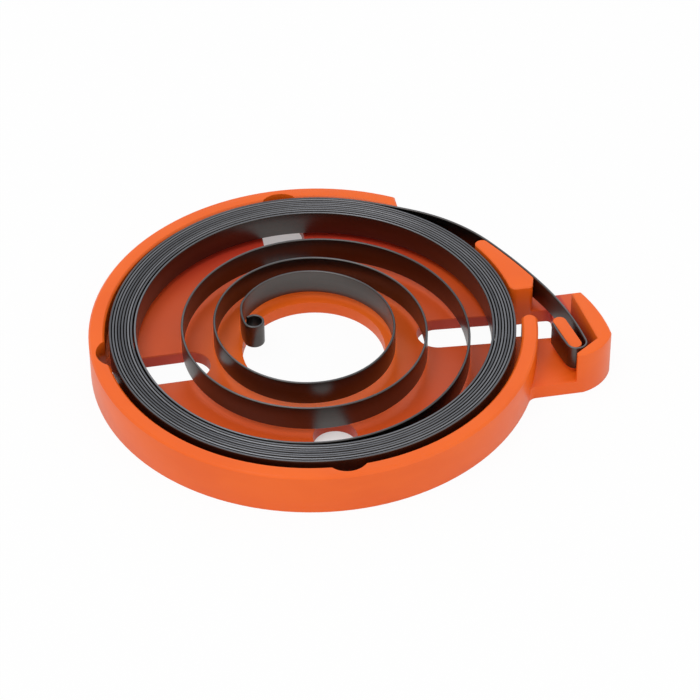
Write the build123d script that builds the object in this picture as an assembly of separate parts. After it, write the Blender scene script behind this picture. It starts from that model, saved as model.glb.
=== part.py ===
from build123d import *
import math
import os

# Rewind spring of strip steel, held in a moulded cassette with an anchor lug. Millimetres.
# Origin: hub axis at the underside. +Z is up, +X points from the hub to the lug.

RING_R = 38.0  # outer radius of the floor and the ring wall


def drawn(value):
    """A plan size, a point or several points, drawn for a ring of 38 mm, at this ring's size."""
    if isinstance(value, tuple):
        return tuple(drawn(item) for item in value)
    return value * (RING_R / 38.0)


# Cassette disc and ring
WALL_IN_R = drawn(35.3)  # inner radius of the ring wall
WALL_TOP = 7.55
FLOOR_TOP = 2.3
RIM_EDGE = 0.35  # broken edges on top of the ring wall
WALL_END_X = drawn(20.3)  # the wall's square end lies in this plane
FINGER_ANGLE = -8.4  # where the rounded wall end is centred, degrees

# Seat that carries the pack
SEAT_TOP = 3.35
SEAT_IN_R = drawn(31.5)

# Floor openings
HUB_R = 12.15
SLOT_WIDTH = 7.35
SLOT_CORNER = 0.8
# Centres of each slot's inner and outer round ends; the outer ends bite into the ring wall
ROUND_SLOTS = (
    drawn(((-21.5, -0.55), (-33.4, -0.75))),
    drawn(((-0.35, -22.5), (-0.3, -33.2))),
    drawn(((-0.3, 21.6), (-0.1, 33.0))),
)
LUG_SLOT = drawn(((21.55, -0.2), (41.6, -1.6)))  # inner round end, square end in the lug

# Strip
STRIP_T = 0.42
STRIP_W = 4.65
PACK_GAP = 0.09  # between the packed turns
INNER_TURN_GAP = 0.24  # before the innermost packed turn
PACK_R = drawn(34.5)  # centre of the strip where the pack starts
PACK_START = 66.0  # angle where the pack starts, degrees
TIGHT_HALF_TURNS = 15
EASED_HALF_TURNS = 2

# Bends of the strip's centre line, in order: radii, and sweeps in degrees
LOOSE_RADII = drawn((27.0, 25.7, 22.8, 21.8, 19.5, 19.7, 16.5, 14.6, 14.6, 12.2, 5.3, 10.9))
LOOSE_SWEEPS = (105.0, 89.0, 74.0, 106.0, 91.0, 83.0, 166.0, 101.0, 91.0, 76.0, 21.0, 23.0)
EYE_R = 1.55
EYE_SWEEP = 298.0
TAIL_RADII = drawn((93.0, 30.6, 105.0, 55.0))
TAIL_SWEEPS = (6.1, 29.7, 7.9, 17.0)
HOOK_R = 1.67
HOOK_SWEEP = 170.6
HOOK_END_R = drawn(48.8)
HOOK_END_SWEEP = 7.0

# Shoe inside the tail
SHOE_TOP = 8.1
SHOE_CLEARANCE = 0.1  # to the tail
SHOE_IN_R = drawn(34.8)  # the side that faces the pack
SHOE_FRONT_Y = drawn(2.15)
SHOE_BACK_Y = drawn(16.5)
SHOE_CORNER_X = drawn(38.5)  # front corner on the tail's side
SHOE_FLANK = 16.3  # lean of the short side at that corner, degrees from the Y axis
# Corners as x, y and the radius of the rounding
SHOE_CORNERS = (
    (SHOE_CORNER_X, SHOE_FRONT_Y, drawn(0.8)),
    (SHOE_IN_R, SHOE_FRONT_Y, drawn(1.3)),
    drawn((39.4, 5.3, 0.6)),
    (drawn(33.4), SHOE_BACK_Y, drawn(1.1)),
    (drawn(30.6), SHOE_BACK_Y, drawn(1.1)),
)

# Lug
LUG_FLOOR = 2.5
LUG_WALL_TOP = 8.4
LUG_FRONT_Y = drawn(-17.1)
LUG_BACK_Y = drawn(5.7)
LUG_WALL_BACK_Y = drawn(-1.0)
LUG_ROOT_ROUND = drawn(1.6)  # where the lug's front edge meets the ring
# Three points of the outer side, then three of the front corner
LUG_SIDE = ((drawn(46.2), LUG_WALL_BACK_Y), drawn((47.95, -6.3)), drawn((48.7, -12.5)))
LUG_NOSE = (LUG_SIDE[-1], drawn((46.95, -15.0)), (drawn(43.0), LUG_FRONT_Y))
LUG_WALL_END_X = drawn(41.8)
LUG_WALL_END_ROUND = 0.35
LUG_POCKET = (
    (LUG_WALL_END_X, drawn(-16.35)),
    drawn((46.1, -13.2)),
    (drawn(44.6), LUG_WALL_BACK_Y),
)
LUG_BACK_X = drawn(46.9)
LUG_SHOULDER_X = drawn(41.6)  # from here the plate's edge runs on to touch the ring
LUG_EDGE = 0.2  # broken edges on top of the lug wall and the shoe

# Anchor post
POST_R = 1.1
POST_TOP = 7.5
POST_CLEARANCE = 0.12
POST_BACK = drawn((41.15, -6.9))  # centre of the post's back end
POST_LEAN = 165.0  # direction from the hook's centre to the post's, degrees


def polar(radius, angle):
    """Point at a radius and an angle in degrees."""
    a = math.radians(angle)
    return (radius * math.cos(a), radius * math.sin(a))


def side(pose, shift):
    """Point beside a pose (x, y, heading); a positive shift lies to the left."""
    x, y, h = pose
    a = math.radians(h)
    return (x - shift * math.sin(a), y + shift * math.cos(a))


def turned(pose, bend):
    """Pose after a bend (radius, sweep); a negative sweep turns right."""
    radius, sweep = bend
    x, y, h = pose
    cx, cy = side(pose, math.copysign(radius, sweep))
    a = math.radians(sweep)
    dx = x - cx
    dy = y - cy
    nx = cx + dx * math.cos(a) - dy * math.sin(a)
    ny = cy + dx * math.sin(a) + dy * math.cos(a)
    return (nx, ny, h + sweep)


def edge_along(pose, bend, shift):
    """Arc beside a bend, at a constant distance from its centre line."""
    radius, sweep = bend
    middle = turned(pose, (radius, sweep / 2))
    end = turned(pose, bend)
    return ThreePointArc(side(pose, shift), side(middle, shift), side(end, shift))


def band_wire(start, bends, shift):
    """Edges beside a whole chain of bends, and the pose at its end."""
    edges = []
    pose = start
    for bend in bends:
        edges.append(edge_along(pose, bend, shift))
        pose = turned(pose, bend)
    return edges, pose


def pack_bends():
    """Half turns whose radius drops by a quarter of a pitch at the start and a half each time."""
    pitches = [STRIP_T + PACK_GAP] * TIGHT_HALF_TURNS
    pitches += [STRIP_T + INNER_TURN_GAP] * EASED_HALF_TURNS
    bends = []
    radius = PACK_R
    for pitch in pitches:
        bends.append((radius - pitch / 4, 180.0))
        radius -= pitch / 2
    return bends


def inward_bends():
    """Pack, loose turns and eye, all turning left."""
    return pack_bends() + list(zip(LOOSE_RADII, LOOSE_SWEEPS)) + [(EYE_R, EYE_SWEEP)]


def tail_bends():
    """Tail from the pack to the hook, turning right."""
    return [(radius, -sweep) for radius, sweep in zip(TAIL_RADII, TAIL_SWEEPS)]


def outward_bends():
    """Tail, hook and its free end."""
    return tail_bends() + [(HOOK_R, -HOOK_SWEEP), (HOOK_END_R, -HOOK_END_SWEEP)]


def pack_start(heading):
    """Pose at the pack's start, heading along or against the winding."""
    x, y = polar(PACK_R, PACK_START)
    return (x, y, heading)


def strip_run(start, bends):
    """Solid strip along a chain of bends."""
    left, end = band_wire(start, bends, STRIP_T / 2)
    right, _ = band_wire(start, bends, -STRIP_T / 2)
    caps = [
        Line(side(start, STRIP_T / 2), side(start, -STRIP_T / 2)),
        Line(side(end, STRIP_T / 2), side(end, -STRIP_T / 2)),
    ]
    face = make_face(left + right + caps)
    return Pos(0, 0, SEAT_TOP) * extrude(face, STRIP_W)


def make_spring():
    """The whole strip: one run inward and one outward from the pack's start."""
    inward = strip_run(pack_start(PACK_START + 90), inward_bends())
    outward = strip_run(pack_start(PACK_START - 90), outward_bends())
    return inward + outward


def prism(sketch, low, high):
    """Upright prism between two heights."""
    return Pos(0, 0, low) * extrude(sketch, high - low)


def broken_top(solid, size):
    """Solid with the edges of its highest face broken."""
    return chamfer(solid.faces().sort_by(Axis.Z)[-1].edges(), size)


def disc(radius, low, high):
    """Round plate on the hub axis."""
    return prism(Circle(radius), low, high)


def near(vertices, x, y):
    """The vertex nearest to a point."""
    return min(vertices, key=lambda v: math.hypot(v.X - x, v.Y - y))


def along(start, end):
    """Placement at the middle of a line, turned to it, and the line's length."""
    angle = math.degrees(math.atan2(end[1] - start[1], end[0] - start[0]))
    middle = Pos((start[0] + end[0]) / 2, (start[1] + end[1]) / 2)
    return middle * Rot(0, 0, angle), math.dist(start, end)


def round_slot(start, end):
    """Cutter for a slot with two round ends."""
    place, length = along(start, end)
    return prism(place * SlotCenterToCenter(length, SLOT_WIDTH), -1, WALL_TOP + 1)


def lug_slot():
    """Cutter for the slot that runs on into the lug, where its corners are small."""
    start, end = LUG_SLOT
    place, length = along(start, end)
    body = Rectangle(length, SLOT_WIDTH)
    for y in (SLOT_WIDTH / 2, -SLOT_WIDTH / 2):
        body = fillet(near(body.vertices(), length / 2, y), SLOT_CORNER)
    return prism(place * (body + Pos(-length / 2, 0) * Circle(SLOT_WIDTH / 2)), -1, SEAT_TOP + 1)


def gap_sketch():
    """Plan of the gap in the ring wall, from the finger to the square end."""
    far = 2 * RING_R
    return make_face(
        Polyline(
            (0, 0),
            polar(far, FINGER_ANGLE),
            (far, far),
            (WALL_END_X, far),
            (WALL_END_X, 0),
            close=True,
        )
    )


def ring_wall():
    """Ring wall with its gap and finger end."""
    thickness = RING_R - WALL_IN_R
    sketch = Circle(RING_R) - Circle(WALL_IN_R) - gap_sketch()
    x, y = polar(WALL_IN_R + thickness / 2, FINGER_ANGLE)
    sketch = sketch + Pos(x, y) * Circle(thickness / 2)
    return broken_top(prism(sketch, 0, WALL_TOP), RIM_EDGE)


def seat_ring():
    """Low step that carries the pack."""
    band = Circle(WALL_IN_R + 0.5) - Circle(SEAT_IN_R)
    return prism(band, 0, SEAT_TOP)


def shoe():
    """Full-height block that backs the tail between the ring and the lug."""
    edges, end = band_wire(pack_start(PACK_START - 90), tail_bends(), -STRIP_T / 2 - SHOE_CLEARANCE)
    first = side(pack_start(PACK_START - 90), -STRIP_T / 2 - SHOE_CLEARANCE)
    last = side(end, -STRIP_T / 2 - SHOE_CLEARANCE)
    inside = make_face(edges + [Line(last, (0, 0)), Line((0, 0), first)])
    rise = SHOE_BACK_Y - SHOE_FRONT_Y
    window = make_face(
        Polyline(
            (RING_R / 2, SHOE_FRONT_Y),
            (SHOE_CORNER_X, SHOE_FRONT_Y),
            (SHOE_CORNER_X + rise * math.tan(math.radians(SHOE_FLANK)), SHOE_BACK_Y),
            (RING_R / 2, SHOE_BACK_Y),
            close=True,
        )
    )
    sketch = (inside & window) - Circle(SHOE_IN_R)
    for x, y, size in SHOE_CORNERS:
        sketch = fillet(near(sketch.vertices(), x, y), size)
    return broken_top(prism(sketch, 0, SHOE_TOP), LUG_EDGE)


def plan_sketch():
    """Outline of the whole moulding seen from above."""
    side_start, side_middle, side_end = LUG_SIDE
    nose_start, nose_middle, nose_end = LUG_NOSE
    root = (math.sqrt(RING_R ** 2 - LUG_FRONT_Y ** 2), LUG_FRONT_Y)
    shoulder = (LUG_SHOULDER_X, LUG_BACK_Y)
    reach = math.hypot(*shoulder)
    bearing = math.degrees(math.atan2(LUG_BACK_Y, LUG_SHOULDER_X) + math.acos(RING_R / reach))
    tangent = polar(RING_R, bearing)
    outline = [
        ThreePointArc(tangent, (-RING_R, 0), root),
        Line(root, nose_end),
        ThreePointArc(nose_start, nose_middle, nose_end),
        ThreePointArc(side_start, side_middle, side_end),
        Line(side_start, (LUG_BACK_X, LUG_BACK_Y)),
        Line((LUG_BACK_X, LUG_BACK_Y), shoulder),
        Line(shoulder, tangent),
    ]
    sketch = make_face(outline)
    sketch = fillet(near(sketch.vertices(), *root), LUG_ROOT_ROUND)
    return fillet(near(sketch.vertices(), *shoulder), LUG_ROOT_ROUND)


def base_plate():
    """Floor of the disc and the slightly thicker plate of the lug."""
    plan = plan_sketch()
    return prism(plan, 0, FLOOR_TOP) + prism(plan - Circle(RING_R), 0, LUG_FLOOR)


def lug_wall():
    """Wall round the outer side and front corner of the lug."""
    side_start, side_middle, side_end = LUG_SIDE
    nose_start, nose_middle, nose_end = LUG_NOSE
    end_inside, pocket_corner, pocket_back = LUG_POCKET
    outline = [
        ThreePointArc(side_start, side_middle, side_end),
        ThreePointArc(nose_start, nose_middle, nose_end),
        Line(nose_end, (LUG_WALL_END_X, LUG_FRONT_Y)),
        Line((LUG_WALL_END_X, LUG_FRONT_Y), end_inside),
        Line(end_inside, pocket_corner),
        Line(pocket_corner, pocket_back),
        Line(pocket_back, side_start),
    ]
    sketch = make_face(outline)
    sketch = fillet(near(sketch.vertices(), *end_inside), LUG_WALL_END_ROUND)
    return broken_top(prism(sketch, 0, LUG_WALL_TOP), LUG_EDGE)


def hook_centre():
    """Centre of the hook's bend."""
    _, end = band_wire(pack_start(PACK_START - 90), tail_bends(), 0)
    return side(end, -HOOK_R)


def anchor_post():
    """Oval post that fills the hook."""
    room = HOOK_R - STRIP_T / 2 - POST_R - POST_CLEARANCE
    cx, cy = hook_centre()
    dx, dy = polar(room, POST_LEAN)
    place, length = along((cx + dx, cy + dy), POST_BACK)
    sketch = place * SlotCenterToCenter(length, 2 * POST_R)
    return prism(sketch, 0, POST_TOP)


def make_cassette():
    """The whole moulding."""
    body = base_plate() + seat_ring() + ring_wall() - disc(HUB_R, -1, LUG_FLOOR + 1)
    for start, end in ROUND_SLOTS:
        body -= round_slot(start, end)
    body -= lug_slot()
    return body + shoe() + lug_wall() + anchor_post()


def main():
    """Write one file for each node."""
    os.makedirs("parts", exist_ok=True)
    export_step(make_spring(), "parts/spring.step")
    export_step(make_cassette(), "parts/cassette.step")


main()
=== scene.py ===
"""Looks of a rewind spring of strip steel in its moulded cassette.

The strip is wound here again with a finer round section, along the same bends as the part's own solid, and
stands for it. The cassette is a merged copy of its solid with softened edges. Metres, row frame.
"""

import logging
import math
from dataclasses import dataclass
from enum import Enum
from typing import Any, Iterable, Sequence, Union

import bmesh
import bpy
from mathutils import Matrix, Vector, noise

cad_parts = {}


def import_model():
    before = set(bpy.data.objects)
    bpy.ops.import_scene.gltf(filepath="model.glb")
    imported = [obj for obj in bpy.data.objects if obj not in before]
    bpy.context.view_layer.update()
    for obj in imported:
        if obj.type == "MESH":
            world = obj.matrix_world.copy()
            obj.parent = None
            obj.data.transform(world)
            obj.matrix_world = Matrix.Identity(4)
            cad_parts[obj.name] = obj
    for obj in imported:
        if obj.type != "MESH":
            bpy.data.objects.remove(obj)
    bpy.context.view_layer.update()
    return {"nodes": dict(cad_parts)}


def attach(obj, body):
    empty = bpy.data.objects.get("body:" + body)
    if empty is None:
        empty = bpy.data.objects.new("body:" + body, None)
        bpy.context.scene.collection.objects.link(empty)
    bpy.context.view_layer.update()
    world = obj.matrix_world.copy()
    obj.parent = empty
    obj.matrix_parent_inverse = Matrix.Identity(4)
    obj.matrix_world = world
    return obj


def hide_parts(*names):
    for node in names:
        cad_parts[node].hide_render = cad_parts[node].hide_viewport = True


LOG = logging.getLogger("rewind_spring")
MM = 0.001
BODY = "root"

Colour = tuple[float, float, float]
Span = tuple[float, float]
Value = Union[float, "Socket"]


class Turn(Enum):
    """Which way a bend turns, seen from above."""

    LEFT = 1
    RIGHT = -1


class Surface(Enum):
    """Material places on the strip."""

    FACE = 0
    EDGE = 1


class Socket:
    """An output socket that takes part in Python arithmetic."""

    def __init__(self, graph: "NodeGraph", output: bpy.types.NodeSocket) -> None:
        """Wrap one output.

        Args:
            graph: The graph that the output belongs to.
            output: The output socket.
        """
        self.graph = graph
        self.output = output

    def __add__(self, other: Value) -> "Socket":
        """Sum."""
        return self.graph.math("ADD", self, other)

    __radd__ = __add__

    def __sub__(self, other: Value) -> "Socket":
        """Difference."""
        return self.graph.math("SUBTRACT", self, other)

    def __rsub__(self, other: Value) -> "Socket":
        """Difference from a number."""
        return self.graph.math("SUBTRACT", other, self)

    def __mul__(self, other: Value) -> "Socket":
        """Product."""
        return self.graph.math("MULTIPLY", self, other)

    __rmul__ = __mul__

    def __pow__(self, other: Value) -> "Socket":
        """Power."""
        return self.graph.math("POWER", self, other)

    def clamped(self) -> "Socket":
        """Value held between 0 and 1."""
        return Socket(self.graph, self.graph.node("ShaderNodeClamp", {}, {"Value": self}).outputs[0])


class NodeGraph:
    """The node tree of one material or world."""

    def __init__(self, owner: Union[bpy.types.Material, bpy.types.World]) -> None:
        """Start with an empty tree.

        Args:
            owner: The new material or world.
        """
        self.owner = owner
        self.owner.use_nodes = True
        self.tree = self.owner.node_tree
        self.tree.nodes.clear()

    def node(self, kind: str, settings: dict[str, Any], inputs: dict[Any, Any]) -> bpy.types.Node:
        """Add a node.

        Args:
            kind: The node's type name.
            settings: Attributes, set first.
            inputs: Values or links by input name or index.

        Returns:
            The node.
        """
        made = self.tree.nodes.new(kind)
        for key, value in settings.items():
            setattr(made, key, value)
        for key, value in inputs.items():
            if isinstance(value, Socket):
                self.tree.links.new(value.output, made.inputs[key])
            elif isinstance(value, bpy.types.NodeSocket):
                self.tree.links.new(value, made.inputs[key])
            else:
                made.inputs[key].default_value = value
        return made

    def math(self, operation: str, first: Value, second: Value) -> Socket:
        """Join two values with a Math node.

        Args:
            operation: The Math node's operation.
            first: Left value.
            second: Right value.

        Returns:
            The result.
        """
        made = self.node("ShaderNodeMath", {"operation": operation}, {0: first, 1: second})
        return Socket(self, made.outputs[0])

    def ramp(self, factor: Socket, low: float, high: float) -> Socket:
        """Smooth step of a value between two limits.

        Args:
            factor: The value.
            low: Where the step starts.
            high: Where it ends.

        Returns:
            0 below low, 1 above high.
        """
        settings = {"interpolation_type": "SMOOTHSTEP"}
        inputs = {"Value": factor, "From Min": low, "From Max": high}
        return Socket(self, self.node("ShaderNodeMapRange", settings, inputs).outputs["Result"])

    def colour_mix(self, factor: Value, first: Any, second: Any) -> Socket:
        """Blend two colours.

        Args:
            factor: Share of the second colour.
            first: Colour or link.
            second: Colour or link.

        Returns:
            The blended colour.
        """
        made = self.node("ShaderNodeMix", {"data_type": "RGBA"}, {0: factor, 6: first, 7: second})
        return Socket(self, made.outputs[2])

    def objects_place(self) -> Socket:
        """Object coordinates."""
        return Socket(self, self.node("ShaderNodeTexCoord", {}, {}).outputs["Object"])

    def parts(self, vector: Socket) -> tuple[Socket, Socket, Socket]:
        """The three numbers of a vector."""
        made = self.node("ShaderNodeSeparateXYZ", {}, {0: vector})
        return tuple(Socket(self, output) for output in made.outputs)

    def place(self, x: Value, y: Value, z: Value) -> Socket:
        """A vector from three numbers."""
        return Socket(self, self.node("ShaderNodeCombineXYZ", {}, {0: x, 1: y, 2: z}).outputs[0])

    def stretched(self, vector: Socket, scale: Sequence[float]) -> Socket:
        """Coordinates scaled along each axis."""
        inputs = {"Vector": vector, "Scale": tuple(scale)}
        return Socket(self, self.node("ShaderNodeMapping", {}, inputs).outputs[0])

    def attribute(self, name: str) -> Socket:
        """A number stored on the mesh."""
        settings = {"attribute_name": name, "attribute_type": "GEOMETRY"}
        return Socket(self, self.node("ShaderNodeAttribute", settings, {}).outputs["Fac"])

    def noise(self, vector: Socket, scale: float, detail: float = 3.0, rough: float = 0.5) -> Socket:
        """Noise between about 0 and 1.

        Args:
            vector: Coordinates.
            scale: Features per metre.
            detail: Octaves.
            rough: Weight of the finer octaves.

        Returns:
            The noise.
        """
        inputs = {"Vector": vector, "Scale": scale, "Detail": detail, "Roughness": rough}
        return Socket(self, self.node("ShaderNodeTexNoise", {}, inputs).outputs["Fac"])

    def bump(self, height: Socket, strength: float, distance: float) -> Socket:
        """Normal bent by a height.

        Args:
            height: The height, 0 to 1.
            strength: Share of the effect.
            distance: Real height in metres.

        Returns:
            The normal.
        """
        inputs = {"Height": height, "Strength": strength, "Distance": distance}
        return Socket(self, self.node("ShaderNodeBump", {}, inputs).outputs[0])

    def finish(self, shader: bpy.types.NodeSocket, kind: str = "ShaderNodeOutputMaterial") -> Any:
        """Send a shader to the output.

        Args:
            shader: The shader's output.
            kind: The output node's type name.

        Returns:
            The material or world.
        """
        self.node(kind, {}, {"Surface": shader})
        return self.owner

    def surface(self, inputs: dict[str, Any]) -> bpy.types.Material:
        """Finish with one Principled shader.

        Args:
            inputs: The shader's values or links by input name.

        Returns:
            The material.
        """
        return self.finish(self.node("ShaderNodeBsdfPrincipled", {}, inputs).outputs[0])


def rgba(colour: Colour) -> tuple[float, float, float, float]:
    """Colour with full alpha."""
    return (*colour, 1.0)


def stand(name: str, bm: bmesh.types.BMesh) -> bpy.types.Object:
    """Turn a finished bmesh into an object of the scene.

    Args:
        name: The object's name.
        bm: The bmesh, which is freed.

    Returns:
        The object, at the origin.
    """
    mesh = bpy.data.meshes.new(name)
    bm.to_mesh(mesh)
    bm.free()
    made = bpy.data.objects.new(name, mesh)
    bpy.context.scene.collection.objects.link(made)
    return made


@dataclass(frozen=True)
class OrangeMoulding:
    """Glossy orange moulded plastic with faint flow marks, with painted shade, a deeper red, where it is
    recessed.
    """

    light: Colour = (0.92, 0.140, 0.008)
    deep: Colour = (0.87, 0.122, 0.006)
    # Deep red painted into the recesses as shade
    shade: Colour = (0.56, 0.036, 0.020)
    roughness: float = 0.36
    coat: float = 0.05
    coat_roughness: float = 0.2
    refraction: float = 1.42

    # Flow marks, mottle and grain
    flow_stretch: tuple[float, float, float] = (1.0, 1.0, 2.5)
    flow_scale: float = 60.0
    flow_span: Span = (0.35, 0.7)
    mottle_scale: float = 420.0
    mottle_share: float = 0.75
    mottle_roughness: float = 0.10
    grain_scale: float = 5200.0
    grain_share: float = 0.25
    grain_roughness: float = 0.05
    grain_bump: float = 0.12
    grain_depth: float = 0.00004

    # Most of the painted shade, a deep red standing in for shadow, on the floor, in the slots, in the lug and
    # under the pack at the back
    floor_shade: float = 0.42
    wall_shade: float = 0.85
    pocket_shade: float = 0.75
    back_shade: float = 0.52

    # Where the painted shade starts and ends inside the ring, in metres
    ring_radii: Span = (0.0330, 0.0356)
    hub_radii: Span = (0.0125, 0.0230)
    floor_heights: Span = (0.0024, 0.0042)
    slot_heights: Span = (0.0019, 0.0022)
    pack_back: Span = (0.0120, 0.0290)
    pack_radii: Span = (0.0200, 0.0310)

    # The same for the painted shade in the lug; its wall leans along a line
    wall_foot: Span = (0.0452, -0.001)
    wall_lean: float = 0.165
    wall_blend: Span = (-0.0002, 0.0004)
    lug_start: Span = (0.0395, 0.0425)
    lug_back: Span = (-0.0145, -0.0105)
    lug_heights: Span = (0.0035, 0.0080)
    passage_start: Span = (0.0378, 0.0392)
    passage_back: Span = (-0.0008, 0.0008)
    passage_heights: Span = (0.0030, 0.0045)

    def recess_painted_shade(self, graph: NodeGraph, place: Socket) -> Socket:
        """Share of the painted shade on the floor inside the ring, in the slots, under the pack at the back
        and in the lug.

        Args:
            graph: The material's graph.
            place: Object coordinates.

        Returns:
            The share.
        """
        x, y, z = graph.parts(place)
        radius = (x * x + y * y) ** 0.5
        inside = 1.0 - graph.ramp(radius, *self.ring_radii)
        away_from_hub = graph.ramp(radius, *self.hub_radii)
        low = 1.0 - graph.ramp(z, *self.floor_heights)
        below_floor = 1.0 - graph.ramp(z, *self.slot_heights)
        floor = low * self.floor_shade + below_floor * (self.wall_shade - self.floor_shade)
        under_pack = graph.ramp(y, *self.pack_back) * graph.ramp(radius, *self.pack_radii)
        # Painted shade under the pack at the back, where its wall shadows the floor
        floor = floor + low * (1.0 - below_floor) * under_pack * self.back_shade
        return (inside * away_from_hub * floor + self.lug_painted_shade(graph, x, y, z)).clamped()

    def lug_painted_shade(self, graph: NodeGraph, x: Socket, y: Socket, z: Socket) -> Socket:
        """Share of the painted shade in the lug, round the post and behind the hook.

        Args:
            graph: The material's graph.
            x: Object X.
            y: Object Y.
            z: Object Z.

        Returns:
            The share.
        """
        wall_line = self.wall_foot[0] - self.wall_lean * (y - self.wall_foot[1])
        within = graph.ramp(x, *self.lug_start) * (1.0 - graph.ramp(x - wall_line, *self.wall_blend))
        behind = graph.ramp(y, *self.lug_back)
        deep = 1.0 - graph.ramp(z, *self.lug_heights)
        passage = graph.ramp(x, *self.passage_start) * graph.ramp(y, *self.passage_back)
        low = 1.0 - graph.ramp(z, *self.passage_heights)
        return within * behind * deep * self.pocket_shade + passage * low * self.floor_shade

    def material(self) -> bpy.types.Material:
        """Build the material.

        Returns:
            The plastic.
        """
        graph = NodeGraph(bpy.data.materials.new("orange_moulding"))
        place = graph.objects_place()
        flow = graph.noise(graph.stretched(place, self.flow_stretch), self.flow_scale, 3.0)
        mottle = graph.noise(place, self.mottle_scale, 4.0, 0.6)
        grain = graph.noise(place, self.grain_scale, 2.0, 0.5)
        lit = graph.colour_mix(graph.ramp(flow, *self.flow_span), rgba(self.light), rgba(self.deep))
        # Painted shade: the flow-marked colour is mixed towards deep red in the recesses
        colour = graph.colour_mix(self.recess_painted_shade(graph, place), lit, rgba(self.shade))
        uneven = self.mottle_roughness * (mottle - 0.5) + self.grain_roughness * (grain - 0.5)
        height = self.mottle_share * mottle + self.grain_share * grain
        inputs = {
            "Base Color": colour,
            "Roughness": (self.roughness + uneven).clamped(),
            "Coat Weight": self.coat,
            "Coat Roughness": self.coat_roughness,
            "IOR": self.refraction,
            "Normal": graph.bump(height, self.grain_bump, self.grain_depth),
        }
        return graph.surface(inputs)


@dataclass(frozen=True)
class StripFace:
    """Flat faces of the strip: rolled steel, blued nearly black."""

    dark: Colour = (0.074, 0.066, 0.062)
    bright: Colour = (0.15, 0.142, 0.136)
    roughness: float = 0.31
    line_scale: tuple[float, float] = (40.0, 6000.0)  # rolled lines, along and across the strip
    line_share: float = 0.35
    line_roughness: float = 0.12
    line_bump: float = 0.10
    line_depth: float = 0.00001
    stain_scale: tuple[float, float] = (22.0, 150.0)
    stain_share: float = 0.65
    stain_span: Span = (0.3, 0.75)
    stain_roughness: float = 0.08

    def material(self) -> bpy.types.Material:
        """Build the material.

        Returns:
            The blued face.
        """
        graph = NodeGraph(bpy.data.materials.new("strip_face"))
        run = graph.attribute("run")
        across = graph.attribute("across")
        lines = graph.place(run * self.line_scale[0], across * self.line_scale[1], 0.0)
        rolled = graph.noise(lines, 1.0, 3.0, 0.55)
        drift = graph.place(run * self.stain_scale[0], across * self.stain_scale[1], 3.0)
        stain = graph.noise(drift, 1.0, 2.0, 0.5)
        amount = (self.stain_share * graph.ramp(stain, *self.stain_span) + self.line_share * rolled).clamped()
        colour = graph.colour_mix(amount, rgba(self.dark), rgba(self.bright))
        uneven = self.line_roughness * (rolled - 0.5) + self.stain_roughness * (stain - 0.5)
        inputs = {
            "Base Color": colour,
            "Metallic": 1.0,
            "Roughness": (self.roughness + uneven).clamped(),
            "Normal": graph.bump(rolled, self.line_bump, self.line_depth),
        }
        return graph.surface(inputs)


@dataclass(frozen=True)
class StripEdge:
    """Slit edges of the strip: brighter, with scuffs and dark stretches."""

    dark: Colour = (0.10, 0.105, 0.12)
    bright: Colour = (0.31, 0.318, 0.345)
    roughness: float = 0.34
    tone_scale: float = 14.0
    tone_share: float = 0.8
    tone_span: Span = (0.3, 0.72)
    scuff_scale: float = 260.0
    scuff_share: float = 0.45
    scuff_middle: float = 0.4
    scuff_roughness: float = 0.2
    scuff_bump: float = 0.15
    scuff_depth: float = 0.00002

    def material(self) -> bpy.types.Material:
        """Build the material.

        Returns:
            The slit edge.
        """
        graph = NodeGraph(bpy.data.materials.new("strip_edge"))
        run = graph.attribute("run")
        tone = graph.noise(graph.place(run * self.tone_scale, 0.5, 1.5), 1.0, 3.0, 0.6)
        scuff = graph.noise(graph.place(run * self.scuff_scale, 2.5, 0.5), 1.0, 2.0, 0.6)
        scuffed = self.scuff_share * (scuff - self.scuff_middle)
        amount = (self.tone_share * graph.ramp(tone, *self.tone_span) + scuffed).clamped()
        colour = graph.colour_mix(amount, rgba(self.dark), rgba(self.bright))
        inputs = {
            "Base Color": colour,
            "Metallic": 1.0,
            "Roughness": (self.roughness + self.scuff_roughness * (scuff - 0.5)).clamped(),
            "Normal": graph.bump(scuff, self.scuff_bump, self.scuff_depth),
        }
        return graph.surface(inputs)


@dataclass(frozen=True)
class StudioPaper:
    """White paper that stays nearly white to the camera and keeps a soft shadow."""

    colour: Colour = (0.86, 0.86, 0.86)
    glow: float = 0.95
    glossy_glow: float = 0.35
    slot_shade: float = 0.62
    slot_side: Span = (0.0055, 0.0075)  # where the shade under a slot fades out, in metres
    slot_inner_end: Span = (0.0155, 0.0175)
    slot_outer_end: Span = (0.0345, 0.0365)

    def under_slots(self, graph: NodeGraph) -> Socket:
        """Where the paper lies in the part's shade, under its front and back slots.

        Args:
            graph: The material's graph.

        Returns:
            1 in the shade, 0 elsewhere.
        """
        x, y, _ = graph.parts(graph.objects_place())
        across = 1.0 - graph.ramp((x * x) ** 0.5, *self.slot_side)
        reach = (y * y) ** 0.5
        beyond = graph.ramp(reach, *self.slot_outer_end)
        return across * graph.ramp(reach, *self.slot_inner_end) * (1.0 - beyond)

    def material(self) -> bpy.types.Material:
        """Build the material.

        Returns:
            The paper.
        """
        graph = NodeGraph(bpy.data.materials.new("studio_paper"))
        paper = graph.node("ShaderNodeBsdfDiffuse", {}, {"Color": rgba(self.colour)})
        light = graph.node("ShaderNodeEmission", {}, {"Color": rgba((1.0, 1.0, 1.0)), "Strength": 1.0})
        path = graph.node("ShaderNodeLightPath", {}, {})
        camera = Socket(graph, path.outputs["Is Camera Ray"])
        glossy = Socket(graph, path.outputs["Is Glossy Ray"])
        glow = (1.0 - self.under_slots(graph) * self.slot_shade) * self.glow
        factor = camera * glow + glossy * self.glossy_glow
        mix = graph.node("ShaderNodeMixShader", {}, {0: factor, 1: paper.outputs[0], 2: light.outputs[0]})
        return graph.finish(mix.outputs[0])


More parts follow.
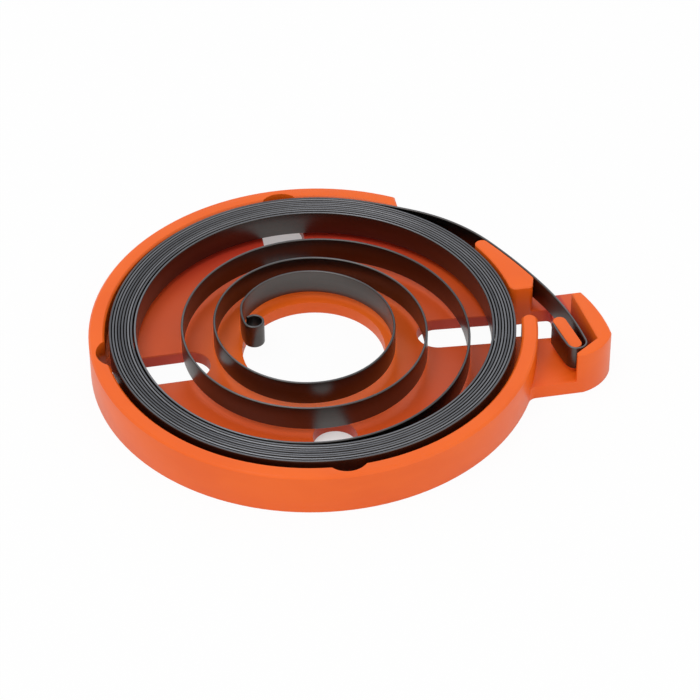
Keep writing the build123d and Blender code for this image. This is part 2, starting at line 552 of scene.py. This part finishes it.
@dataclass(frozen=True)
class Bend:
    """One arc of the strip's centre line, in millimetres and degrees."""

    radius: float
    sweep: float
    turn: Turn = Turn.LEFT

    @property
    def length(self) -> float:
        """Length along the centre line."""
        return self.radius * math.radians(self.sweep)


@dataclass(frozen=True)
class Pose:
    """A point on the strip's centre line and the way it heads, in millimetres and degrees."""

    x: float
    y: float
    heading: float

    def beside(self, shift: float) -> Vector:
        """Point to the left of the pose by a shift, to the right where it is negative."""
        angle = math.radians(self.heading)
        return Vector((self.x - shift * math.sin(angle), self.y + shift * math.cos(angle), 0.0))

    def centre(self, bend: Bend) -> Vector:
        """Centre of a bend that starts here."""
        return self.beside(bend.radius * bend.turn.value)

    def after(self, bend: Bend) -> "Pose":
        """Pose at the end of a bend.

        Args:
            bend: The bend that starts here.

        Returns:
            The pose at its end.
        """
        sweep = bend.sweep * bend.turn.value
        centre = self.centre(bend)
        start = Vector((self.x, self.y, 0.0)) - centre
        end = centre + Matrix.Rotation(math.radians(sweep), 3, "Z") @ start
        return Pose(end.x, end.y, self.heading + sweep)


def bends(turn: Turn, *pairs: tuple[float, float]) -> tuple[Bend, ...]:
    """Bends that all turn one way."""
    return tuple(Bend(radius, sweep, turn) for radius, sweep in pairs)


@dataclass
class WoundStrip:
    """The whole spring: hook, tail, pack, loose turns and eye, as one strip."""

    thickness: float = 0.42
    base_z: float = 3.35
    width: float = 4.65
    corner: float = 0.20
    pack_radius: float = 34.5
    pack_start: float = 66.0
    pitches: tuple[tuple[float, int], ...] = ((0.51, 15), (0.66, 2))
    loose: tuple[Bend, ...] = bends(
        Turn.LEFT,
        (27.0, 105.0),
        (25.7, 89.0),
        (22.8, 74.0),
        (21.8, 106.0),
        (19.5, 91.0),
        (19.7, 83.0),
        (16.5, 166.0),
        (14.6, 101.0),
        (14.6, 91.0),
        (12.2, 76.0),
        (5.3, 21.0),
        (10.9, 23.0),
        (1.55, 298.0),
    )
    tail: tuple[Bend, ...] = bends(
        Turn.RIGHT,
        (93.0, 6.1),
        (30.6, 29.7),
        (105.0, 7.9),
        (55.0, 17.0),
        (1.67, 170.6),
        (48.8, 7.0),
    )
    corner_steps: int = 5
    flatness: float = 0.003  # how far a flat step may leave its arc
    seam_gap: float = 0.001
    settle: float = 0.10
    settle_length: float = 55.0
    settle_swing: float = 0.9
    packed_edge: float = 0.8  # least upward turn of a face that counts as the slit edge
    loose_edge: float = 0.93
    sharp: float = 50.0

    def pack(self) -> list[Bend]:
        """Half turns of the pack, each a little tighter than the last.

        Returns:
            The bends.
        """
        made: list[Bend] = []
        radius = self.pack_radius
        for pitch, count in self.pitches:
            for _ in range(count):
                made.append(Bend(radius - pitch / 4, 180.0))
                radius -= pitch / 2
        return made

    def start(self, heading: float) -> Pose:
        """Pose at the pack's start."""
        angle = math.radians(self.pack_start)
        return Pose(self.pack_radius * math.cos(angle), self.pack_radius * math.sin(angle), heading)

    def section(self, bm: bmesh.types.BMesh, pose: Pose) -> list[bmesh.types.BMEdge]:
        """Draw the strip's round-cornered section across a pose.

        Args:
            bm: The mesh to draw in.
            pose: Where the section stands.

        Returns:
            The section's edges.
        """
        made = bmesh.ops.create_grid(bm, x_segments=1, y_segments=1, size=0.5)
        bmesh.ops.scale(bm, vec=(self.thickness, self.width, 1.0), verts=made["verts"])
        bmesh.ops.bevel(
            bm,
            geom=made["verts"],
            offset=self.corner,
            offset_type="OFFSET",
            segments=self.corner_steps,
            profile=0.5,
            affect="VERTICES",
            material=-1,
        )
        stand = Matrix.Rotation(math.radians(90.0), 4, "X")
        turn = Matrix.Rotation(math.radians(pose.heading - 90.0), 4, "Z")
        place = Matrix.Translation((pose.x, pose.y, self.base_z + self.width / 2))
        bmesh.ops.transform(bm, matrix=place @ turn @ stand, verts=bm.verts[:])
        bmesh.ops.delete(bm, geom=bm.faces[:], context="FACES_ONLY")
        return bm.edges[:]

    def steps(self, bend: Bend) -> int:
        """How many flat steps a bend needs to look round."""
        step = 2 * math.acos(max(0.0, 1 - self.flatness / bend.radius))
        return max(2, math.ceil(math.radians(bend.sweep) / step))

    def arc(self, whole: bmesh.types.BMesh, pose: Pose, bend: Bend, travelled: float, sign: float) -> None:
        """Sweep the section round one bend and add it to the strip.

        Args:
            whole: The strip so far.
            pose: Where the bend starts.
            bend: The bend.
            travelled: Length of the run before the bend.
            sign: 1 where the run counts up inwards, -1 outwards.
        """
        bm = bmesh.new()
        length = bm.verts.layers.float.new("run")
        edges = self.section(bm, pose)
        ring = len(edges)
        steps = self.steps(bend)
        bmesh.ops.spin(
            bm,
            geom=edges,
            cent=pose.centre(bend),
            axis=(0.0, 0.0, 1.0),
            dvec=(0.0, 0.0, 0.0),
            angle=math.radians(bend.sweep) * bend.turn.value,
            steps=steps,
            use_merge=False,
            use_duplicate=False,
        )
        for index, vert in enumerate(bm.verts):
            share = (index // ring) / steps
            vert[length] = sign * (travelled + bend.length * share) * MM
        mesh = bpy.data.meshes.new("arc")
        bm.to_mesh(mesh)
        bm.free()
        whole.from_mesh(mesh)
        bpy.data.meshes.remove(mesh)

    def wind(self, whole: bmesh.types.BMesh, pose: Pose, run: Iterable[Bend], sign: float) -> None:
        """Sweep the section along a chain of bends.

        Args:
            whole: The strip so far.
            pose: Where the chain starts.
            run: The bends in order.
            sign: 1 where the run counts up inwards, -1 outwards.
        """
        travelled = 0.0
        for bend in run:
            self.arc(whole, pose, bend, travelled, sign)
            travelled += bend.length
            pose = pose.after(bend)

    def sag(self, bm: bmesh.types.BMesh) -> None:
        """Let the turns settle unevenly, never above the strip's top or below its seat.

        Args:
            bm: The wound strip.
        """
        length = bm.verts.layers.float["run"]
        top = self.base_z + self.width
        for vert in bm.verts:
            wave = noise.noise(Vector((vert[length] / MM / self.settle_length, 0.7, 0.3)))
            drop = self.settle * min(1.0, max(0.0, 0.5 + self.settle_swing * wave))
            share = (vert.co.z - self.base_z) / (top - self.base_z)
            vert.co.z -= drop * share

    def store_across(self, bm: bmesh.types.BMesh) -> None:
        """Store each vertex's height on the strip for the finish.

        Args:
            bm: The wound strip.
        """
        across = bm.verts.layers.float.new("across")
        for vert in bm.verts:
            vert[across] = (vert.co.z - self.base_z) * MM

    def assign(self, bm: bmesh.types.BMesh) -> None:
        """Give the edges and the faces their places; loose turns show a narrower edge.

        Args:
            bm: The wound strip, in millimetres.
        """
        length = bm.verts.layers.float["run"]
        packed = sum(bend.length for bend in self.pack()) * MM
        for face in bm.faces:
            within = 0.0 <= face.verts[0][length] <= packed
            limit = self.packed_edge if within else self.loose_edge
            place = Surface.EDGE if abs(face.normal.z) > limit else Surface.FACE
            face.material_index = place.value
            face.smooth = True

    def build(self) -> bpy.types.Object:
        """Wind both runs, join them and dress the strip.

        Returns:
            The spring.
        """
        bm = bmesh.new()
        bm.verts.layers.float.new("run")
        self.wind(bm, self.start(self.pack_start + 90.0), [*self.pack(), *self.loose], 1.0)
        self.wind(bm, self.start(self.pack_start - 90.0), self.tail, -1.0)
        bmesh.ops.remove_doubles(bm, verts=bm.verts[:], dist=self.seam_gap)
        self.sag(bm)
        self.store_across(bm)
        rims = [edge for edge in bm.edges if len(edge.link_faces) == 1]
        bmesh.ops.holes_fill(bm, edges=rims, sides=0)
        bmesh.ops.recalc_face_normals(bm, faces=bm.faces[:])
        self.assign(bm)
        bmesh.ops.scale(bm, vec=(MM, MM, MM), verts=bm.verts[:])
        piece = stand("wound_strip", bm)
        for finish in (StripFace(), StripEdge()):
            piece.data.materials.append(finish.material())
        piece.data.set_sharp_from_angle(angle=math.radians(self.sharp))
        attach(piece, BODY)
        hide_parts("spring")
        return piece


@dataclass
class Cassette:
    """The moulding: a merged copy of its solid with softened edges."""

    node: str = "cassette"
    merge_gap: float = 0.0005
    flat: float = 0.4  # largest fold, in degrees, between facets of one flat face
    soften: float = 0.12
    soften_steps: int = 3
    corner: float = 25.0  # smallest fold, in degrees, that gets softened
    sharp: float = 30.0

    def build(self, nodes: dict[str, bpy.types.Object]) -> bpy.types.Object:
        """Copy, merge and soften the solid, and dress it.

        Args:
            nodes: The frame's nodes by name.

        Returns:
            The moulding.
        """
        bm = bmesh.new()
        bm.from_mesh(nodes[self.node].data)
        bmesh.ops.scale(bm, vec=(1 / MM, 1 / MM, 1 / MM), verts=bm.verts[:])
        bmesh.ops.remove_doubles(bm, verts=bm.verts[:], dist=self.merge_gap)
        bmesh.ops.dissolve_limit(
            bm,
            angle_limit=math.radians(self.flat),
            use_dissolve_boundaries=False,
            verts=bm.verts[:],
            edges=bm.edges[:],
            delimit=set(),
        )
        edges = [edge for edge in bm.edges if self.is_corner(edge)]
        bmesh.ops.bevel(
            bm,
            geom=edges,
            offset=self.soften,
            offset_type="OFFSET",
            segments=self.soften_steps,
            profile=0.5,
            affect="EDGES",
            clamp_overlap=True,
            material=-1,
        )
        for face in bm.faces:
            face.smooth = True
        bmesh.ops.scale(bm, vec=(MM, MM, MM), verts=bm.verts[:])
        piece = stand("cassette_moulding", bm)
        piece.data.materials.append(OrangeMoulding().material())
        piece.data.set_sharp_from_angle(angle=math.radians(self.sharp))
        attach(piece, BODY)
        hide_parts(self.node)
        return piece

    def is_corner(self, edge: bmesh.types.BMEdge) -> bool:
        """Whether an edge is a real corner of the moulding."""
        return len(edge.link_faces) == 2 and edge.calc_face_angle(0.0) > math.radians(self.corner)


@dataclass(frozen=True)
class Lamp:
    """A square soft lamp that looks at the part."""

    name: str
    place: tuple[float, float, float]
    size: float
    power: float

    def build(self) -> bpy.types.Object:
        """Hang the lamp.

        Returns:
            The lamp.
        """
        light = bpy.data.lights.new(self.name, "AREA")
        light.shape = "SQUARE"
        light.size = self.size
        light.energy = self.power
        lamp = bpy.data.objects.new(self.name, light)
        lamp.location = self.place
        lamp.rotation_euler = (-Vector(self.place)).to_track_quat("-Z", "Y").to_euler()
        bpy.context.scene.collection.objects.link(lamp)
        return lamp


@dataclass
class Studio:
    """Floor, lamps and world."""

    floor_size: float = 3.0
    floor_drop: float = 0.00005
    world_strength: float = 0.76
    lamps: tuple[Lamp, ...] = (
        Lamp("key", (-0.25, -0.15, 0.75), 0.55, 1.7),
        Lamp("fill", (0.45, -0.55, 0.5), 0.6, 0.5),
    )

    def build(self) -> None:
        """Make the floor, world and lamps."""
        self.floor()
        self.world()
        for lamp in self.lamps:
            lamp.build()

    def floor(self) -> None:
        """Lay the paper under the part."""
        bm = bmesh.new()
        bmesh.ops.create_grid(bm, x_segments=1, y_segments=1, size=self.floor_size / 2)
        paper = stand("paper", bm)
        paper.location.z = -self.floor_drop
        paper.data.materials.append(StudioPaper().material())

    def world(self) -> None:
        """Even pale light from all round, plain white to the camera."""
        graph = NodeGraph(bpy.data.worlds.new("studio"))
        white = rgba((1.0, 1.0, 1.0))
        ambient = graph.node("ShaderNodeBackground", {}, {"Color": white, "Strength": self.world_strength})
        seen = graph.node("ShaderNodeBackground", {}, {"Color": white, "Strength": 1.0})
        path = graph.node("ShaderNodeLightPath", {}, {})
        inputs = {0: path.outputs["Is Camera Ray"], 1: ambient.outputs[0], 2: seen.outputs[0]}
        mix = graph.node("ShaderNodeMixShader", {}, inputs)
        bpy.context.scene.world = graph.finish(mix.outputs[0], "ShaderNodeOutputWorld")


@dataclass(frozen=True)
class PhotoCamera:
    """Camera at the photograph's viewing angle."""

    azimuth: float = 10.15
    elevation: float = 40.684
    roll: float = -0.4496
    distance: float = 0.513
    aside: tuple[float, float] = (-0.0061859, 0.0014538)
    middle: float = 0.003792
    lens: float = 155.285
    sensor: float = 36.0
    clip: Span = (0.01, 10.0)

    def build(self) -> bpy.types.Object:
        """Place the camera.

        Returns:
            The camera.
        """
        roll = math.radians(self.roll)
        rise = math.radians(self.elevation)
        right = Vector((1.0, 0.0, 0.0))
        up = Vector((0.0, math.sin(rise), math.cos(rise)))
        ahead = Vector((0.0, math.cos(rise), -math.sin(rise)))
        right_rolled = math.cos(roll) * right + math.sin(roll) * up
        up_rolled = math.cos(roll) * up - math.sin(roll) * right
        place = -(self.aside[0] * right_rolled + self.aside[1] * up_rolled + self.distance * ahead)
        place.z += self.middle
        basis = Matrix((right_rolled, up_rolled, -ahead)).transposed().to_4x4()
        turn = Matrix.Rotation(math.radians(-self.azimuth), 4, "Z")
        data = bpy.data.cameras.new("photo_camera")
        data.sensor_fit = "HORIZONTAL"
        data.sensor_width = self.sensor
        data.lens = self.lens
        data.clip_start, data.clip_end = self.clip
        camera = bpy.data.objects.new("photo_camera", data)
        camera.matrix_world = turn @ Matrix.Translation(place) @ basis
        bpy.context.scene.collection.objects.link(camera)
        bpy.context.scene.camera = camera
        return camera


def report(piece: bpy.types.Object) -> None:
    """Log what a finished piece holds."""
    LOG.info("%s: %d faces", piece.name, len(piece.data.polygons))


def main() -> None:
    """Build the scene in order and note its size."""
    logging.basicConfig(level=logging.INFO, format="%(relativeCreated)d ms %(name)s: %(message)s")
    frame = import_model()
    PhotoCamera().build()
    report(WoundStrip().build())
    report(Cassette().build(frame["nodes"]))
    Studio().build()
    bpy.context.scene.view_settings.view_transform = "Standard"


if __name__ == "__main__":
    main()
